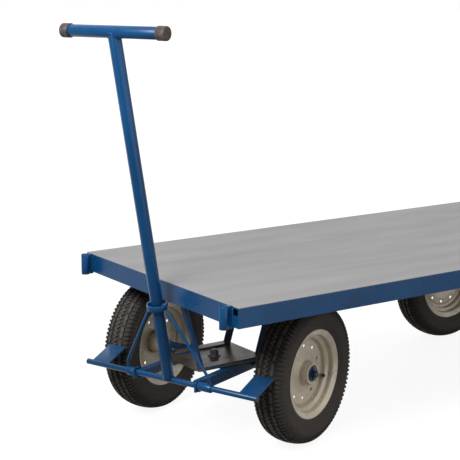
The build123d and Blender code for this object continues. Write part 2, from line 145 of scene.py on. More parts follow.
class Sheet:
    """Points and faces collected for one mesh, in millimetres of some place."""

    def __init__(self):
        self.points = []
        self.faces = []
        self.smooth = []

    def add(self, points, faces, smooth=True):
        start = len(self.points)
        self.points += [Vector(p) for p in points]
        self.faces += [tuple(start + i for i in face) for face in faces]
        self.smooth += [smooth] * len(faces)

    def grid(self, rows, closed_rows=False, closed_columns=False, smooth=True):
        """Quads between rows of points, joined end to end where asked."""
        high, wide = len(rows), len(rows[0])
        faces = []
        for i in range(high if closed_rows else high - 1):
            for j in range(wide if closed_columns else wide - 1):
                a, b = i * wide, (i + 1) % high * wide
                k = (j + 1) % wide
                faces.append((a + j, a + k, b + k, b + j))
        self.add([p for row in rows for p in row], faces, smooth)

    def tube(self, path, radius, sides=10, closed=False, ends=True):
        """A round bar along a path; radius is a number or one for each point."""
        path = [Vector(p) for p in path]
        count = len(path)
        radii = radius if isinstance(radius, list) else [radius] * count
        rows = []
        normal = None
        for i, point in enumerate(path):
            before = path[i - 1] if closed or i else path[0]
            after = path[(i + 1) % count] if closed or i < count - 1 else path[-1]
            along = (after - before).normalized()
            if normal is None:
                normal = along.orthogonal()
            normal = (normal - along * normal.dot(along)).normalized()
            across = along.cross(normal)
            rows.append([point + radii[i] * (normal * cos(tau * k / sides)
                                             + across * sin(tau * k / sides))
                         for k in range(sides)])
        if closed:
            spin = rows[0][0] - path[0]
            best = min(range(sides), key=lambda k: (rows[-1][k] - path[-1] - spin).length)
            if best:
                shift = [round(best * i / count) for i in range(count)]
                rows = [row[s:] + row[:s] for row, s in zip(rows, shift)]
        self.grid(rows, closed_rows=closed, closed_columns=True)
        if ends and not closed:
            last = (count - 1) * sides
            start = len(self.points) - count * sides
            self.faces.append(tuple(start + k for k in reversed(range(sides))))
            self.faces.append(tuple(start + last + k for k in range(sides)))
            self.smooth += [False, False]

    def lathe(self, section, steps, centre=(0, 0), closed=False):
        """A section of (radius, height) points turned about Z."""
        rows = [[(centre[0] + r * cos(tau * i / steps), centre[1] + r * sin(tau * i / steps), z)
                 for r, z in section] for i in range(steps)]
        self.grid(rows, closed_rows=True, closed_columns=closed)

    def bead(self, path, radius=2.2, closed=False, seed=0.0):
        """A weld run: a round bead in overlapping ripples along a path."""
        ripple = 2.6
        path = even(path, 0.9, closed)
        travelled = 0.0
        radii = []
        for i, point in enumerate(path):
            travelled += (point - path[i - 1]).length if i else 0.0
            wave = abs(sin(pi * travelled / ripple))
            rough = noise.noise(point * 0.23 + Vector((seed, 0, 0)))
            radii.append(radius * (0.84 + 0.2 * wave + 0.22 * rough))
        if not closed:
            for i in range(min(3, len(radii) // 2)):
                radii[i] *= 0.45 + 0.2 * i
                radii[-1 - i] *= 0.45 + 0.2 * i
        self.tube(path, radii, sides=8, closed=closed)

    def make(self, name, place, look, ride, slot, sharp=None):
        """The finished object: its mesh in metres at place, with its look and body. The slot is not used."""
        mesh = bpy.data.meshes.new(name)
        mesh.from_pydata([p * MM for p in self.points], [], self.faces)
        mesh.polygons.foreach_set("use_smooth", self.smooth)
        mesh.update()
        mesh.validate()
        if sharp:
            mesh.set_sharp_from_angle(angle=radians(sharp))
        piece = bpy.data.objects.new(name, mesh)
        bpy.context.scene.collection.objects.link(piece)
        piece.matrix_world = place
        mesh.materials.append(look)
        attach(piece, ride)
        return piece


def even(path, step, closed=False):
    """Points about a step apart along straight runs between the given ones."""
    path = [Vector(p) for p in path]
    if closed:
        path.append(path[0])
    points = []
    for a, b in zip(path, path[1:]):
        parts = max(1, round((b - a).length / step))
        points += [a.lerp(b, i / parts) for i in range(parts)]
    return points if closed else points + [path[-1]]


def circle(centre, radius, across, up, start=0, end=360, steps=48):
    """Points of an arc about centre, from across towards up."""
    centre, across, up = Vector(centre), Vector(across), Vector(up)
    full = abs(end - start) >= 360
    angles = [radians(start + (end - start) * i / steps) for i in range(steps + (not full))]
    return [centre + radius * (cos(a) * across + sin(a) * up) for a in angles]


def arc(a, b, c, steps):
    """Points of the arc from a through b to c, in a plane."""
    (ax, ay), (bx, by), (cx, cy) = a, b, c
    d = 2 * (ax * (by - cy) + bx * (cy - ay) + cx * (ay - by))
    ux = ((ax**2 + ay**2) * (by - cy) + (bx**2 + by**2) * (cy - ay)
          + (cx**2 + cy**2) * (ay - by)) / d
    uy = ((ax**2 + ay**2) * (cx - bx) + (bx**2 + by**2) * (ax - cx)
          + (cx**2 + cy**2) * (bx - ax)) / d
    radius = hypot(ax - ux, ay - uy)
    first, last = atan2(ay - uy, ax - ux), atan2(cy - uy, cx - ux)
    sweep = (last - first + pi) % tau - pi
    return [(ux + radius * cos(first + sweep * i / steps),
             uy + radius * sin(first + sweep * i / steps)) for i in range(steps + 1)]


def rounded(path, radius, steps=3):
    """A path in a plane with its inner corners rounded."""
    points = [path[0]]
    for before, corner, after in zip(path, path[1:], path[2:]):
        corner = Vector(corner)
        back, on = Vector(before) - corner, Vector(after) - corner
        reach = min(radius, back.length * 0.45, on.length * 0.45)
        start, end = corner + back.normalized() * reach, corner + on.normalized() * reach
        for i in range(steps + 1):
            t = i / steps
            points.append(tuple(start * (1 - t)**2 + corner * 2 * t * (1 - t) + end * t**2))
    return points + [path[-1]]


def thick(path, wall):
    """A closed section around a path in a plane, wall thick."""
    left, right = [], []
    for i, point in enumerate(path):
        a, b = Vector(path[max(i - 1, 0)]), Vector(path[min(i + 1, len(path) - 1)])
        along = (b - a).normalized()
        across = Vector((-along.y, along.x)) * wall / 2
        left.append(tuple(Vector(point) + across))
        right.append(tuple(Vector(point) - across))
    return left + right[::-1]


# ---- materials -----------------------------------------------------------------------------


class Look:
    """A material around one Principled shader, textured in the piece's own coordinates."""

    def __init__(self, name, **values):
        self.material = bpy.data.materials.new(name)
        self.material.use_nodes = True
        self.tree = self.material.node_tree
        self.shader = self.tree.nodes["Principled BSDF"]
        for socket, value in values.items():
            self.shader.inputs[socket.replace("_", " ")].default_value = value
        coordinates = self.add("ShaderNodeTexCoord")
        self.place = coordinates.outputs["Object"]
        self.facing = coordinates.outputs["Normal"]

    def add(self, kind, inputs=None, **settings):
        node = self.tree.nodes.new(kind)
        for key, value in settings.items():
            setattr(node, key, value)
        for key, value in (inputs or {}).items():
            if isinstance(value, bpy.types.NodeSocket):
                self.tree.links.new(value, node.inputs[key])
            else:
                node.inputs[key].default_value = value
        return node

    def noise(self, scale, detail=3.0, rough=0.5, stretch=None, twist=0.0):
        place = self.place
        if stretch:
            place = self.add("ShaderNodeMapping", {"Vector": place, "Scale": stretch}).outputs[0]
        return self.add("ShaderNodeTexNoise", {"Vector": place, "Scale": scale, "Detail": detail,
                                               "Roughness": rough, "Distortion": twist}).outputs[0]

    def cells(self, scale, feature="F1"):
        return self.add("ShaderNodeTexVoronoi", {"Vector": self.place, "Scale": scale},
                        feature=feature).outputs["Distance"]

    def span(self, value, low, high, start=0.0, end=1.0):
        return self.add("ShaderNodeMapRange", {"Value": value, "From Min": low, "From Max": high,
                                               "To Min": start, "To Max": end}).outputs[0]

    def math(self, operation, a, b=0.0):
        return self.add("ShaderNodeMath", {0: a, 1: b}, operation=operation).outputs[0]

    def mix(self, share, a, b, blend="MIX"):
        node = self.add("ShaderNodeMix", {0: share, 6: a, 7: b}, data_type="RGBA",
                        blend_type=blend)
        return node.outputs[2]

    def axis(self, vector, index):
        return self.add("ShaderNodeSeparateXYZ", {0: vector}).outputs[index]

    def edges(self, radius):
        """1 within radius of an edge, 0 elsewhere."""
        soft = self.add("ShaderNodeBevel", {"Radius": radius}, samples=4).outputs[0]
        hard = self.add("ShaderNodeNewGeometry").outputs["Normal"]
        same = self.add("ShaderNodeVectorMath", {0: soft, 1: hard}, operation="DOT_PRODUCT")
        return self.span(same.outputs["Value"], 0.99, 0.86)

    def bump(self, *layers):
        """Layers of (height socket, depth in metres), coarse first."""
        normal = None
        for height, depth in layers:
            inputs = {"Height": height, "Distance": depth, "Strength": 1.0}
            if normal:
                inputs["Normal"] = normal
            normal = self.add("ShaderNodeBump", inputs).outputs[0]
        self.tree.links.new(normal, self.shader.inputs["Normal"])

    def set(self, **links):
        for socket, value in links.items():
            self.tree.links.new(value, self.shader.inputs[socket.replace("_", " ")])
        return self.material


def enamel(name, bare_below=None, grime=0.0):
    """Blue machine enamel: glossy, a little uneven, dusty on top and chipped at the edges.

    Below a height of bare_below it has rubbed off, and grime is the share that grease covers.
    """
    look = Look(name, Coat_Weight=0.2, Coat_Roughness=0.16, Specular_IOR_Level=0.25)
    deep, bright = (0.002, 0.039, 0.112, 1), (0.004, 0.057, 0.163, 1)
    broad = look.noise(5.0, 4.0, 0.6)
    fine = look.noise(60.0, 5.0, 0.65)
    colour = look.mix(look.span(broad, 0.3, 0.7), deep, bright)
    colour = look.mix(look.span(fine, 0.52, 0.75, 0, 0.1), colour, (0.003, 0.028, 0.078, 1))
    up = look.span(look.axis(look.facing, 2), 0.35, 0.95)
    dust = look.math("MULTIPLY", up, look.span(look.noise(14.0, 6.0, 0.7), 0.42, 0.75, 0.0, 0.16))
    colour = look.mix(dust, colour, (0.13, 0.15, 0.17, 1))
    chipped = look.math("MULTIPLY", look.edges(0.0014), look.span(fine, 0.5, 0.62))
    colour = look.mix(look.math("MULTIPLY", chipped, 0.55), colour, (0.06, 0.09, 0.13, 1))
    rough = look.math("ADD", look.span(fine, 0.3, 0.8, 0.24, 0.42),
                      look.math("MULTIPLY", dust, 0.5))
    if grime:
        grease = look.span(fine, 0.2, 0.7, grime, 0.8 * grime)
        colour = look.mix(grease, colour, (0.006, 0.008, 0.01, 1))
    if bare_below:
        bare = look.span(look.axis(look.place, 2), bare_below + 0.004, bare_below)
        colour = look.mix(bare, colour, (0.085, 0.07, 0.062, 1))
    look.bump((look.noise(26.0, 2.0), 0.0006), (look.noise(420.0, 2.0), 0.00008))
    return look.set(Base_Color=colour, Roughness=rough)


def deck_paint():
    """Light grey sheet: long soft streaks from rolling, scuffs, faint marks of use, and a painted highlight along
    its edges.
    """
    look = Look("deck_grey", Metallic=0.25)
    dark, pale = (0.212, 0.208, 0.212, 1), (0.256, 0.25, 0.254, 1)
    streak = look.noise(7.0, 5.0, 0.6, stretch=(0.22, 2.4, 1.0), twist=0.4)
    cloud = look.noise(2.2, 4.0, 0.55)
    colour = look.mix(look.span(streak, 0.3, 0.72), dark, pale)
    colour = look.mix(look.span(cloud, 0.42, 0.7, 0, 0.4), colour, (0.2, 0.2, 0.206, 1))
    scuff = look.noise(11.0, 8.0, 0.75, stretch=(0.5, 3.0, 1.0))
    colour = look.mix(look.span(scuff, 0.62, 0.75, 0, 0.2), colour, (0.4, 0.4, 0.4, 1))
    # Painted highlight: the sheet's edges are painted paler, as if they caught the light.
    edge = look.edges(0.0022)
    colour = look.mix(look.math("MULTIPLY", edge, 0.6), colour, (0.42, 0.43, 0.45, 1))
    rough = look.span(look.noise(9.0, 5.0, 0.6, stretch=(0.4, 2.0, 1.0)), 0.3, 0.7, 0.4, 0.5)
    look.bump((look.noise(3.0, 2.0), 0.0012),
              (look.noise(160.0, 3.0, 0.6, stretch=(0.2, 1, 1)), 0.00005))
    return look.set(Base_Color=colour, Roughness=rough)


def plate_steel():
    """Dark mill-scale plate, greasy and worn brighter where it rubs."""
    look = Look("greased_plate", Metallic=0.55)
    cloud = look.noise(16.0, 5.0, 0.6)
    colour = look.mix(look.span(cloud, 0.3, 0.7), (0.085, 0.075, 0.07, 1), (0.17, 0.15, 0.135, 1))
    rust = look.span(look.noise(42.0, 6.0, 0.7), 0.56, 0.72, 0, 0.6)
    colour = look.mix(rust, colour, (0.10, 0.06, 0.035, 1))
    rough = look.span(cloud, 0.3, 0.7, 0.24, 0.42)
    look.bump((look.noise(30.0, 3.0), 0.0003),
              (look.noise(500.0, 2.0, stretch=(0.3, 1, 1)), 0.00004))
    return look.set(Base_Color=colour, Roughness=rough)


def zinc():
    """Dull zinc plating with pale bloom and dirt."""
    look = Look("dull_zinc", Metallic=0.85)
    bloom = look.noise(180.0, 5.0, 0.6)
    colour = look.mix(look.span(bloom, 0.35, 0.7), (0.20, 0.195, 0.18, 1), (0.46, 0.45, 0.42, 1))
    look.bump((bloom, 0.00008))
    return look.set(Base_Color=colour, Roughness=look.span(bloom, 0.3, 0.7, 0.34, 0.55))


def cap_plastic():
    """Moulded brown-black caps with a fine spark texture."""
    look = Look("cap_plastic", Specular_IOR_Level=0.45)
    worn = look.noise(70.0, 5.0, 0.6)
    colour = look.mix(look.span(worn, 0.4, 0.75), (0.04, 0.031, 0.027, 1), (0.105, 0.083, 0.073, 1))
    look.bump((look.noise(900.0, 2.0), 0.00007))
    return look.set(Base_Color=colour, Roughness=look.span(worn, 0.3, 0.7, 0.42, 0.6))


def tyre_rubber():
    """Black rubber, browned by dust on the walls and in the tread."""
    look = Look("tyre_rubber", Specular_IOR_Level=0.32)
    x, y = look.axis(look.place, 0), look.axis(look.place, 1)
    radius = look.math("SQRT", look.math("ADD", look.math("MULTIPLY", x, x),
                                         look.math("MULTIPLY", y, y)))
    wall = look.span(radius, 0.192, 0.170)
    black, grey = (0.016, 0.015, 0.0145, 1), (0.030, 0.0275, 0.0255, 1)
    cloud = look.noise(11.0, 5.0, 0.65)
    grain = look.noise(95.0, 6.0, 0.7)
    colour = look.mix(look.span(grain, 0.3, 0.7), black, grey)
    dust = look.math("MULTIPLY", look.span(cloud, 0.3, 0.75, 0.15, 0.75),
                     look.math("ADD", look.math("MULTIPLY", wall, 0.65), 0.3))
    colour = look.mix(dust, colour, (0.064, 0.049, 0.036, 1))
    worn = look.math("MULTIPLY", look.span(radius, 0.1955, 0.1988), look.span(grain, 0.35, 0.6))
    colour = look.mix(look.math("MULTIPLY", worn, 0.8), colour, (0.11, 0.095, 0.08, 1))
    look.bump((look.noise(140.0, 4.0, 0.6), 0.0003), (look.noise(700.0, 2.0), 0.0001))
    return look.set(Base_Color=colour, Roughness=look.span(cloud, 0.3, 0.7, 0.62, 0.85))


def tube_rubber():
    """Plain rubber, for the inner tubes and the valves' boots and caps."""
    look = Look("tube_rubber")
    grain = look.noise(240.0, 4.0, 0.6)
    colour = look.mix(look.span(grain, 0.3, 0.7), (0.014, 0.012, 0.011, 1), (0.04, 0.033, 0.027, 1))
    look.bump((grain, 0.0001))
    return look.set(Base_Color=colour, Roughness=look.span(grain, 0.3, 0.7, 0.45, 0.7))


def rim_paint():
    """Grey-beige enamel on pressed steel, with dirt and small rust spots."""
    look = Look("rim_enamel", Metallic=0.1, Coat_Weight=0.6, Coat_Roughness=0.14)
    cloud = look.noise(13.0, 5.0, 0.6)
    colour = look.mix(look.span(cloud, 0.3, 0.7), (0.50, 0.43, 0.325, 1), (0.64, 0.555, 0.43, 1))
    smear = look.noise(34.0, 6.0, 0.7, twist=0.8)
    colour = look.mix(look.span(smear, 0.55, 0.75, 0, 0.45), colour, (0.29, 0.225, 0.155, 1))
    speck = look.math("MULTIPLY", look.span(look.cells(75.0), 0.16, 0.1),
                      look.span(look.noise(18.0, 3.0), 0.56, 0.62))
    colour = look.mix(look.math("MULTIPLY", speck, 0.8), colour, (0.055, 0.03, 0.018, 1))
    look.bump((look.noise(24.0, 2.0), 0.0045), (look.noise(85.0, 2.0), 0.0007))
    return look.set(Base_Color=colour, Roughness=look.span(smear, 0.3, 0.75, 0.3, 0.55))


def bearing_steel():
    """Bright steel under patches of grease."""
    look = Look("bearing_steel", Metallic=0.9)
    grease = look.noise(120.0, 5.0, 0.6)
    colour = look.mix(look.span(grease, 0.35, 0.65), (0.35, 0.34, 0.32, 1), (0.05, 0.045, 0.035, 1))
    look.bump((grease, 0.0001))
    return look.set(Base_Color=colour, Roughness=look.span(grease, 0.3, 0.7, 0.22, 0.5))


def brass():
    """Tarnished brass, for the valves' threads."""
    look = Look("valve_brass", Metallic=0.9)
    tarnish = look.noise(300.0, 5.0, 0.6)
    colour = look.mix(look.span(tarnish, 0.3, 0.7), (0.30, 0.20, 0.09, 1), (0.10, 0.07, 0.04, 1))
    look.bump((tarnish, 0.00005))
    return look.set(Base_Color=colour, Roughness=look.span(tarnish, 0.3, 0.7, 0.3, 0.5))


LOOKS = {"blue_paint": enamel("blue_enamel"), "deck_steel": deck_paint(),
         "plate_steel": plate_steel(), "zinc": zinc(), "cap_plastic": cap_plastic(),
         "tyre": tyre_rubber(), "tube_rubber": tube_rubber(), "rim_paint": rim_paint(),
         "bearing_steel": bearing_steel()}
BRASS = brass()
STRAP = enamel("strap_enamel", bare_below=strap_bare_below * MM)
GREASED = enamel("greased_enamel", grime=0.6)

# ---- the CAD nodes that stay: softened edges and their looks --------------------------------

SLOTS = {part["node"]: part["material_slot"] for part in frame["record"]["subparts"]}
THIN = ("deck_sheet", "end_caps")
thin_bevel = 0.6
bevel_width = 1.1
for name, node in nodes.items():
    node.data.materials.clear()
    look = LOOKS[SLOTS[name]]
    if name.startswith("support_strap"):
        look = STRAP
    elif name.endswith(("_axle", "_axle_washers")):
        look = GREASED
    node.data.materials.append(look)
    if name.endswith(("_tyre", "_rim", "_inner_tube")):
        continue
    weld = node.modifiers.new("weld", "WELD")
    weld.merge_threshold = 0.00001
    bevel = node.modifiers.new("bevel", "BEVEL")
    bevel.width = (thin_bevel if name in THIN else bevel_width) * MM
    bevel.segments = 2
    bevel.limit_method = "ANGLE"
    bevel.angle_limit = radians(40)
    bevel.harden_normals = True

# ---- tyres ---------------------------------------------------------------------------------

TREAD_UNITS = 32              # segments of each rib round the tyre
LUGS = 3 * TREAD_UNITS        # shoulder lugs on each side
tread_radius = 198.0          # for turning angles into widths
tread_depth = 4.6
skirt = 0.35                  # how far the blocks' feet go down into the carcass
lug_fade = 27.0               # over which the grooves between the lugs run out on the wall
crown = arc((0, 200.0), (20, 198.4), (37.5, 193.0), 12)
shoulder = arc((37.5, 193.0), (40.5, 190.5), (42.0, 186.0), 5)
wall = arc((42.0, 186.0), (45.5, 156.0), (38.5, 127.0), 22)
bead_end = [(35.8, 124.3), (33.4, 118.0), (30.0, 112.3)]
SECTION = crown + shoulder[1:] + wall[1:] + bead_end

STATIONS = [0.0]
for a, b in zip(SECTION, SECTION[1:]):
    STATIONS.append(STATIONS[-1] + hypot(b[0] - a[0], b[1] - a[1]))
crown_length = STATIONS[len(crown) - 1]


def on_section(run):
    """The section's (out, radius) and outward direction, a run away from its centre line."""
    side = 1 if run >= 0 else -1
    run = min(abs(run), STATIONS[-1])
    i = next(k for k in range(1, len(STATIONS)) if STATIONS[k] >= run - 1e-9)
    t = (run - STATIONS[i - 1]) / (STATIONS[i] - STATIONS[i - 1])
    a, b = Vector(SECTION[i - 1]), Vector(SECTION[i])
    point = a.lerp(b, t)
    along = (b - a).normalized()
    return (side * point.x, point.y), (side * -along.y, along.x)


def groove_depth(run):
    """How far the tread's floor lies under the blocks' tops."""
    fade = (abs(run) - crown_length) / lug_fade
    return tread_depth * (1 - min(max(fade, 0.0), 1.0)) if fade > 0 else tread_depth


def tyre_point(run, turn, rise=0.0):
    """A point of the tyre: a run from the centre line, a turn in radians, rise above the blocks."""
    (out, radius), (nx, ny) = on_section(run)
    radius += rise * ny
    return radius * cos(turn), radius * sin(turn), out + rise * nx


def block(sheet, rails, closed=False, draft=0.9, crease=0.8):
    """A tread block between two rails of (run, turn) points, with sloping sides."""
    rows = []
    last = len(rails) - 1
    for i, (left, right) in enumerate(rails):
        a, b = Vector(left), Vector(right)
        width = hypot(b.x - a.x, (b.y - a.y) * tread_radius)
        inset = min(draft / max(width, 0.1), 0.35)
        half = inset * crease / 2
        row = []
        for t, share in ((0, 0.0), (half, 0.8), (inset, 1.0), (1 - inset, 1.0),
                         (1 - half, 0.8), (1, 0.0)):
            run, turn = a.lerp(b, t)
            if not closed and i in (0, last):
                share = 0.0
            rise = -groove_depth(run) * (1 - share) - (skirt if share == 0.0 else 0.0)
            row.append(tyre_point(run, turn, rise))
        rows.append(row)
    sheet.grid(rows, closed_rows=closed, smooth=False)


def lug_rails(start, side):
    """A shoulder lug: from the tread's edge rib, over the shoulder and a little down the wall."""
    pitch = tau / LUGS
    wide, narrow = 0.70 * pitch, 0.46 * pitch
    runs = (29.0, 30.2, 34.0, 38.5, 42.0, 45.5, 50.0, 56.0, 61.0, 64.0)
    rails = []
    for i, run in enumerate(runs):
        share = i / (len(runs) - 1)
        half = (wide + (narrow - wide) * share) / 2
        lean = 0.22 * pitch * share
        rails.append(((side * run, start + lean - half), (side * run, start + lean + half)))
    return rails


def rib_rails(start, side):
    """One long segment of the rib between the centre and the shoulder."""
    pitch = tau / TREAD_UNITS
    length = 0.9 * pitch
    rails = []
    for share, inner, outer in ((0.0, 16.5, 25.0), (0.03, 16.2, 25.4), (0.25, 15.4, 26.4),
                                (0.5, 16.6, 25.2), (0.75, 15.4, 26.4), (0.97, 16.2, 25.4),
                                (1.0, 16.5, 25.0)):
        turn = start + share * length
        skew = 0.05 * pitch * side
        rails.append(((side * inner, turn), (side * outer, turn + skew)))
    return rails


def tread(sheet):
    """Shoulder lugs, segmented ribs and the zigzag centre rib."""
    for side in (1, -1):
        for i in range(LUGS):
            block(sheet, lug_rails(tau * (i + (0.5 if side < 0 else 0)) / LUGS, side))
        for i in range(TREAD_UNITS):
            block(sheet, rib_rails(tau * (i + (0.5 if side < 0 else 0)) / TREAD_UNITS, side))
    swing, half = 5.2, 4.3
    rails = []
    for i in range(2 * LUGS):
        centre = swing if i % 2 else -swing
        turn = tau * i / (2 * LUGS)
        rails.append(((centre - half, turn), (centre + half, turn)))
    block(sheet, rails, closed=True)


def carcass(sheet, steps=192):
    """The smooth body under the blocks, with thin moulded rings on its walls."""
    rings = (STATIONS[len(crown) + 11], STATIONS[-9])
    marks = []
    for run in STATIONS:
        if all(abs(run - ring) > 1.6 for ring in rings):
            marks.append((run, -groove_depth(run) if run < STATIONS[-3] else 0.0))
    for ring in rings:
        marks += [(ring - 1.5, 0.0), (ring - 0.6, 0.9), (ring + 0.6, 0.9), (ring + 1.5, 0.0)]
    marks.sort()
    marks = [(-run, rise) for run, rise in reversed(marks[1:])] + marks
    rows = [[tyre_point(run, tau * i / steps, rise) for run, rise in marks]
            for i in range(steps)]
    sheet.grid(rows, closed_rows=True)


tyre_sheet = Sheet()
carcass(tyre_sheet)
tread(tyre_sheet)

# ---- rims ----------------------------------------------------------------------------------

rim_wall = 2.5
disc_holes = 10
hole_circle = 75.5
hole_radius = 4.5
lip = [(123.6, 32.6), (126.0, 33.6), (126.6, 35.6), (125.2, 37.3), (122.8, 37.0)]
half_band = lip + [(118.6, 34.8), (111.4, 31.2), (110.4, 29.0), (110.2, 18.6), (108.8, 16.4),
                   (100.2, 12.2), (98.3, 9.6), (98.3, 0.0)]
rim_sheet = Sheet()
band = rounded(half_band, 2.2) + [(r, -w) for r, w in reversed(rounded(half_band, 2.2)[:-1])]
rim_sheet.lathe(thick(band, rim_wall), 144, closed=True)


def disc_height(radius):
    """The pressed disc: flat, a shallow ring near its edge, and a cone up to the hub's collar."""
    steps = ((98.0, 0.0), (94.0, 0.0), (91.0, 1.6), (87.0, 1.6), (84.0, 0.0), (62.0, 0.0),
             (58.0, 0.4), (37.0, 6.0), (34.2, 7.6), (32.8, 10.0), (32.8, 23.0))
    for (r1, h1), (r2, h2) in zip(steps, steps[1:]):
        if r1 >= radius >= r2:
            return h1 + (h2 - h1) * (r1 - radius) / max(r1 - r2, 1e-6)
    return 0.0


def disc_piece(sheet):
    """The disc as a ring of sectors, each with one round hole, and the collar."""
    thickness = rim_wall / 2
    around = 16
    sector = tau / disc_holes
    for k in range(disc_holes):
        middle_turn = k * sector
        cx, cy = hole_circle * cos(middle_turn), hole_circle * sin(middle_turn)
        for face in (1, -1):
            rings = []
            for share in (0.0, 0.12, 0.4, 1.0):
                ring = []
                for i in range(4 * around):
                    edge_radius, edge_turn = sector_edge(i, around, sector)
                    turn = middle_turn + edge_turn
                    far = Vector((edge_radius * cos(turn), edge_radius * sin(turn)))
                    toward = (far - Vector((cx, cy))).normalized()
                    near = Vector((cx, cy)) + toward * hole_radius
                    point = near.lerp(far, share)
                    lift = -0.8 * face if share == 0.0 else 0.0
                    height = disc_height(point.length) + face * thickness + lift
                    ring.append((point.x, point.y, height))
                rings.append(ring if face > 0 else ring[::-1])
            sheet.grid(rings, closed_columns=True)
    collar = [(62.0, 0.0), (58.0, 0.3), (52.0, 1.9), (44.0, 4.1), (37.5, 5.9), (34.6, 7.4),
              (33.2, 9.6), (32.9, 12.0), (32.9, 22.2), (32.4, 23.0)]
    sheet.lathe(thick(collar, rim_wall), 96, closed=True)
    outer = [(98.5, 0.0), (95.0, 0.0), (92.6, 0.5), (90.8, 1.6), (87.2, 1.6), (85.4, 0.5),
             (83.0, 0.0)]
    sheet.lathe(thick(outer, rim_wall), 144, closed=True)


def sector_edge(i, around, sector):
    """The i-th of the points round a sector between the disc's ring and its cone."""
    inner, outer = 61.0, 86.0
    side, t = i // around, (i % around) / around
    half = sector / 2
    if side == 0:
        return inner + (outer - inner) * t, -half
    if side == 1:
        return outer, -half + sector * t
    if side == 2:
        return outer + (inner - outer) * t, half
    return inner, half - sector * t


disc_piece(rim_sheet)
raised_bars = (147.0, 156.0)  # two short bars pressed up from the disc, as turns in degrees
for turn in raised_bars:
    a = radians(turn)
    rim_sheet.tube([(r * cos(a), r * sin(a), 1.0 + lift) for r, lift in
                    ((64.0, -0.6), (66.0, 0.6), (80.0, 0.8), (82.0, -0.6))], 1.9, sides=10)

weld_sheet = Sheet()
rim_weld_runs = 8
for k in range(rim_weld_runs):
    start = 360 * k / rim_weld_runs
    weld_sheet.bead(circle((0, 0, 1.9), 96.6, (1, 0, 0), (0, 1, 0), start, start + 24, 12), 2.0,
                    seed=k)
weld_sheet.bead(circle((0, 0, 23.4), 31.2, (1, 0, 0), (0, 1, 0)), 1.3, closed=True)

# ---- valves --------------------------------------------------------------------------------

valve_tilt = radians(58.8)
valve_foot = Vector((115.0, 0, 0))
valve_way = Vector((-sin(valve_tilt), 0, cos(valve_tilt)))
VALVE = axes(valve_foot * MM, Vector((0, 1, 0)), valve_way)
boot_sheet, stem_sheet = Sheet(), Sheet()
boot_sheet.lathe(rounded([(8.5, 9.0), (8.5, 12.0), (6.4, 15.5), (5.2, 24.0), (5.0, 31.0),
                          (4.1, 32.0)], 0.8), 32)
stem_sheet.lathe([(4.05, 31.0)] + [(4.45 if i % 2 else 4.05, 31.6 + 0.4 * i) for i in range(16)],
                 24)
cap_sheet = Sheet()
cap_sheet.lathe(rounded([(3.9, 37.6), (5.0, 37.8), (5.0, 46.5), (4.3, 49.6), (2.2, 50.6),
                         (0.02, 50.8)], 0.6), 24)


def wheel_pieces(name, upright, place):
    """The looks of one wheel: tyre, rim, its welds and the valve."""
    body = f"{name}_wheel"
    tyre = tyre_sheet.make(f"{name}_treaded_tyre", upright, LOOKS["tyre"], body, "tyre")
    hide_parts(f"{name}_tyre")
    rim = rim_sheet.make(f"{name}_pressed_rim", place, LOOKS["rim_paint"], body, "rim_paint",
                         sharp=50)
    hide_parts(f"{name}_rim")
    weld_sheet.make(f"{name}_rim_welds", place, LOOKS["rim_paint"], body, "rim_paint")
    boot_sheet.make(f"{name}_valve_boot", place @ VALVE, LOOKS["tube_rubber"], body, "tube_rubber")
    stem_sheet.make(f"{name}_valve_thread", place @ VALVE, BRASS, body, "zinc")
    cap_sheet.make(f"{name}_valve_cap", place @ VALVE, LOOKS["tube_rubber"], body, "tube_rubber")


for name, (upright, place) in WHEELS.items():
    wheel_pieces(name, upright, place)

# ---- split pins ----------------------------------------------------------------------------


def split_pin(sheet, centre, outward):
    """A split pin down through an axle: an eye on top and two legs bent apart below."""
    x, y, z = centre
    wire, apart = 1.35, 1.08
    neck, bend = 16.5, -13.0
    eye = circle((x, y, z + 21.5), 4.6, (0, 1, 0), (0, 0, 1), -60, 240, 20)
    outer, inner = ([(x, y + side * apart, z + height) for height in (neck, bend)]
                    for side in (outward, -outward))
    tail = [(x, y + outward * 3.0, z - 15.4), (x + 1.0, y + outward * 8.0, z - 17.6)]
    back = [(x, y - outward * 3.0, z - 15.0), (x - 1.0, y - outward * 5.5, z - 20.0)]
    sheet.tube(even(outer, 4) + tail, wire, sides=8)
    sheet.tube(even(inner, 4) + back, wire, sides=8)
    sheet.tube(eye, wire, sides=8)


for end, place, body in (("front", BOGIE, "bogie"), ("rear", CHASSIS, "chassis")):
    pin_sheet = Sheet()
    for side_name, side in (("left", 1), ("right", -1)):
        hub = place.inverted() @ Vector(joints[f"{end}_{side_name}_spin"]["pos_m"]) / MM
        split_pin(pin_sheet, (hub.x, hub.y + side * pin_from_wheel, hub.z), side)
    pins = pin_sheet.make(f"{end}_split_pins", place, LOOKS["zinc"], body, "zinc")
    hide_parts(f"{end}_axle_pins")

# ---- king nut ------------------------------------------------------------------------------

nut_low, nut_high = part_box("king_nut")
nut_height = (nut_high.z - nut_low.z) / MM
KING = Matrix.Translation((swivel.x, swivel.y, nut_low.z))


def hexagon(turn, width):
    """A hexagon's radius at a turn from its first corner."""
    return width / 2 / cos((turn + pi / 6) % (pi / 3) - pi / 6)


def hex_nut(sheet, width, height, bore, start):
    """A nut whose corners are cut back to a cone at both ends."""
    steps, rows = 72, []
    corner = width / sqrt(3)
    for i in range(steps):
        turn = tau * i / steps
        flat = hexagon(turn + pi / 6, width)
        row = [(bore, 0.6), (bore + 1.4, 0.0)]
        for z in (0.0, 0.5, 1.0, 1.7, height / 2, height - 1.7, height - 1.0, height - 0.5, height):
            reach = min(z, height - z)
            row.append((min(flat, width / 2 - 0.4 + reach * (corner - width / 2 + 0.4) / 1.7), z))
        row += [(bore + 1.4, height), (bore, height - 0.6)]
        rows.append([(r * cos(turn + start), r * sin(turn + start), z) for r, z in row])
    sheet.grid(rows, closed_rows=True, closed_columns=True)


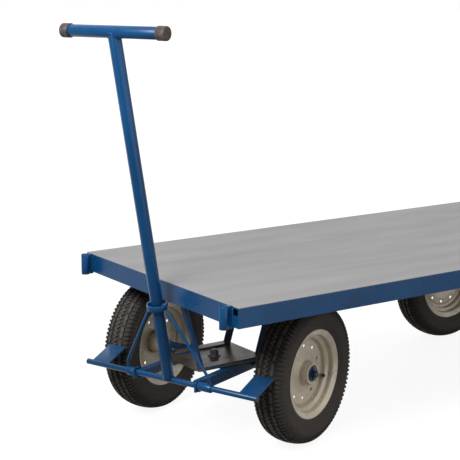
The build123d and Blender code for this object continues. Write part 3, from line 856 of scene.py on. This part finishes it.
nut_sheet = Sheet()
hex_nut(nut_sheet, king_nut_width, nut_height, king_radius + 0.1, radians(15))
nut = nut_sheet.make("king_hex_nut", KING, LOOKS["zinc"], "chassis", "zinc", sharp=28)
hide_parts("king_nut")
thread_sheet = Sheet()
thread_sheet.lathe([(8.35 if i % 2 else 7.7, nut_height - 1.0 + 0.75 * i) for i in range(5)]
                   + [(7.0, nut_height + 2.9), (0.02, nut_height + 3.1)], 40)
thread_sheet.make("king_bolt_thread", KING, LOOKS["zinc"], "chassis", "zinc")

# ---- welds ---------------------------------------------------------------------------------


def handle_welds():
    """Runs round the handle's joints, in the handle's own axes."""
    sheet = Sheet()
    saddle = []
    for i in range(72):
        a = tau * i / 72
        x, y = handle_radius * cos(a), handle_radius * sin(a)
        saddle.append((x, y, handle_length - sqrt(max(tee_radius**2 - x * x, 0.0))))
    sheet.bead(saddle, 2.0, closed=True, seed=1)
    for side in (1, -1):
        sheet.bead(circle((0, side * handle_radius, 0), crossbar_radius + 0.4, (1, 0, 0),
                          (0, 0, 1), 35, 145), 2.4, seed=2 + side)
        sheet.bead(circle((0, side * sleeve_end, 0), crossbar_radius + 1.0, (1, 0, 0),
                          (0, 0, 1)), 1.9, closed=True, seed=5 + side)
        sheet.bead(circle((0, side * rod_foot_y, sleeve_radius + 0.4), rod_radius + 0.2,
                          (1, 0, 0), (0, 1, 0)), 1.8, closed=True, seed=8 + side)
        rod_top = (0, side * (ring_radius - ring_wall / 2), ring_height - ring_band / 2 - 0.6)
        sheet.bead(circle(rod_top, rod_radius + 0.5, (1, 0, 0), (0, 1, 0)), 1.5, closed=True,
                   seed=11 + side)
        for k in (1, -1):
            edge = k * (ring_lug / 2 + 0.4)
            sheet.bead([(edge, side * y, ring_height + ring_band / 2) for y in ring_lug_run],
                       1.3, seed=edge)
    return sheet


def brake_welds():
    """A run across each brake plate where it leaves the crossbar, in the bogie's axes."""
    sheet = Sheet()
    a = radians(brake_slope)
    for brake_y in brake_places:
        ends = [brake_y + k * (brake_width / 2 - 1.5) for k in (-1, 1)]
        x, z = 0.6 - crossbar_radius * cos(a) * 0.98, crossbar_radius * 0.32 - 0.4
        sheet.bead([(pivot_x + x, y, pivot_z + z) for y in ends], 1.9, seed=brake_y)
    return sheet


def bogie_welds():
    """Runs on the bogie: members to bearing plates, and round the axle."""
    sheet = Sheet()
    for side, member_face in member_faces.items():
        face = side * member_face
        sheet.bead([(member_front, face + side * 0.6, z) for z in bearing_run], 2.2, seed=side)
        for y in (face + side * 0.8, face - side * (member_wall + 0.6)):
            sheet.bead(circle((-trail, y, axle_z), axle_radius + 0.6, (1, 0, 0), (0, 0, 1)), 1.7,
                       closed=True, seed=side + 2)
    return sheet


def chassis_welds():
    """Runs on the chassis: sockets, the deck's corners, and the straps' feet."""
    sheet = Sheet()
    low, high = (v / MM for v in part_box("front_beam"))
    rear_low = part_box("rear_beam")[0] / MM
    sockets_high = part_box("stake_sockets")[1] / MM
    for face, out in ((high.x, 1), (rear_low.x, -1)):
        for side in (1, -1):
            y = side * (sockets_high.y - socket_radius)
            for k in (1, -1):
                beside = y + k * (socket_spacer / 2 + 0.6)
                run = [(face + out * 1.0, beside, z) for z in (high.z - 3, low.z + 4)]
                sheet.bead(run, 2.4, seed=side + k)
            joint = side * high.y
            sheet.bead([(face + out * 0.2, joint, z) for z in (high.z - 4, low.z + 4)], 2.6,
                       seed=side + 7)
            sheet.bead([(face - out * step, joint, low.z - 0.1) for step in (2, 23)], 1.6,
                       seed=side + 8)
    for side in (1, -1):
        for k in (1, -1):
            y = side * strap_y + k * (strap_width / 2 + 0.3)
            for start in strap_foot_starts:
                ends = (swivel.x / MM + start, swivel.x / MM + start + strap_foot_length)
                sheet.bead([(x, y, plate_top + 0.6) for x in ends], 2.1, seed=start + k)
    x = middle("rear_axle").x / MM
    for side in (1, -1):
        for k in (1, -1):
            y = side * rear_strap_y
            run = [(x + k * rear_weld_off, y + end * rear_weld_half, axle_z + axle_radius - 1.0)
                   for end in (-1, 1)]
            sheet.bead(run, 2.0, seed=side + k)
    return sheet


handle_welds().make("handle_welds", HANDLE, LOOKS["blue_paint"], "handle", "blue_paint")
brake_welds().make("brake_welds", BOGIE, LOOKS["blue_paint"], "handle", "blue_paint")
bogie_welds().make("bogie_welds", BOGIE, LOOKS["blue_paint"], "bogie", "blue_paint")
chassis_welds().make("chassis_welds", CHASSIS, LOOKS["blue_paint"], "chassis", "blue_paint")

# ---- camera, light and floor ----------------------------------------------------------------

camera_data = bpy.data.cameras.new("camera")
camera_data.lens = 99.97
camera_data.sensor_width = 36.0
camera = bpy.data.objects.new("camera", camera_data)
bpy.context.scene.collection.objects.link(camera)
heading, dip = radians(235.779), radians(11.306)
looking = Vector((cos(dip) * cos(heading), cos(dip) * sin(heading), -sin(dip)))
camera.location = (2.45544, 2.9353, 1.28737)
camera.rotation_euler = looking.to_track_quat("-Z", "Y").to_euler()
bpy.context.scene.camera = camera


def sun(name, azimuth, height, softness, strength):
    """A soft distant light; azimuth and height say where it comes from."""
    data = bpy.data.lights.new(name, "SUN")
    data.angle = radians(softness)
    data.energy = strength
    light = bpy.data.objects.new(name, data)
    bpy.context.scene.collection.objects.link(light)
    a, h = radians(azimuth), radians(height)
    from_there = Vector((cos(h) * cos(a), cos(h) * sin(a), sin(h)))
    light.rotation_euler = from_there.to_track_quat("Z", "Y").to_euler()


sun("key", azimuth=22, height=44, softness=26, strength=2.3)
sun("overhead", azimuth=200, height=82, softness=100, strength=0.4)
sun("fill", azimuth=116, height=18, softness=70, strength=1.08)

# A small lamp beside the T grip, for the sheen of its paint.
lamp_data = bpy.data.lights.new("grip_lamp", "AREA")
lamp_data.size = 0.7
lamp_data.energy = 20.0
lamp = bpy.data.objects.new("grip_lamp", lamp_data)
bpy.context.scene.collection.objects.link(lamp)
lamp.location = tee_centre + Vector((0.9, 0.45, 0.55))
lamp.rotation_euler = (lamp.location - tee_centre).to_track_quat("Z", "Y").to_euler()

# The sky is bright on one side and dim on the other, so that glossy paint mirrors both.
world = bpy.data.worlds.new("studio")
bpy.context.scene.world = world
world.use_nodes = True
sky = world.node_tree
way = sky.nodes.new("ShaderNodeTexCoord").outputs["Generated"]
towards = sky.nodes.new("ShaderNodeVectorMath")
towards.operation = "DOT_PRODUCT"
towards.inputs[1].default_value = (cos(heading), sin(heading), 0.0)
sky.links.new(way, towards.inputs[0])
backdrop = sky.nodes.new("ShaderNodeMapRange")
for socket, value in (("From Min", 0.0), ("From Max", 0.93), ("To Min", 0.2), ("To Max", 1.0)):
    backdrop.inputs[socket].default_value = value
sky.links.new(towards.outputs["Value"], backdrop.inputs["Value"])
sky.links.new(backdrop.outputs[0], sky.nodes["Background"].inputs["Strength"])
sky.nodes["Background"].inputs["Color"].default_value = (1.0, 1.0, 1.0, 1)

floor_look = Look("pale_floor", Roughness=0.9, Emission_Color=(1, 1, 1, 1), Emission_Strength=0.9)
floor_colour = floor_look.mix(floor_look.noise(1.5), (0.11, 0.11, 0.11, 1), (0.12, 0.12, 0.12, 1))
floor_look.set(Base_Color=floor_colour)
floor_mesh = bpy.data.meshes.new("floor")
reach = 30.0                  # half the floor's width, in metres
floor_mesh.from_pydata([(-reach, -reach, 0), (reach, -reach, 0), (reach, reach, 0),
                        (-reach, reach, 0)], [], [(0, 1, 2, 3)])
floor_mesh.materials.append(floor_look.material)
floor = bpy.data.objects.new("floor", floor_mesh)
bpy.context.scene.collection.objects.link(floor)
floor.visible_diffuse = False  # its glow stays off the trolley
floor.visible_glossy = False

bpy.context.scene.view_settings.view_transform = "Standard"
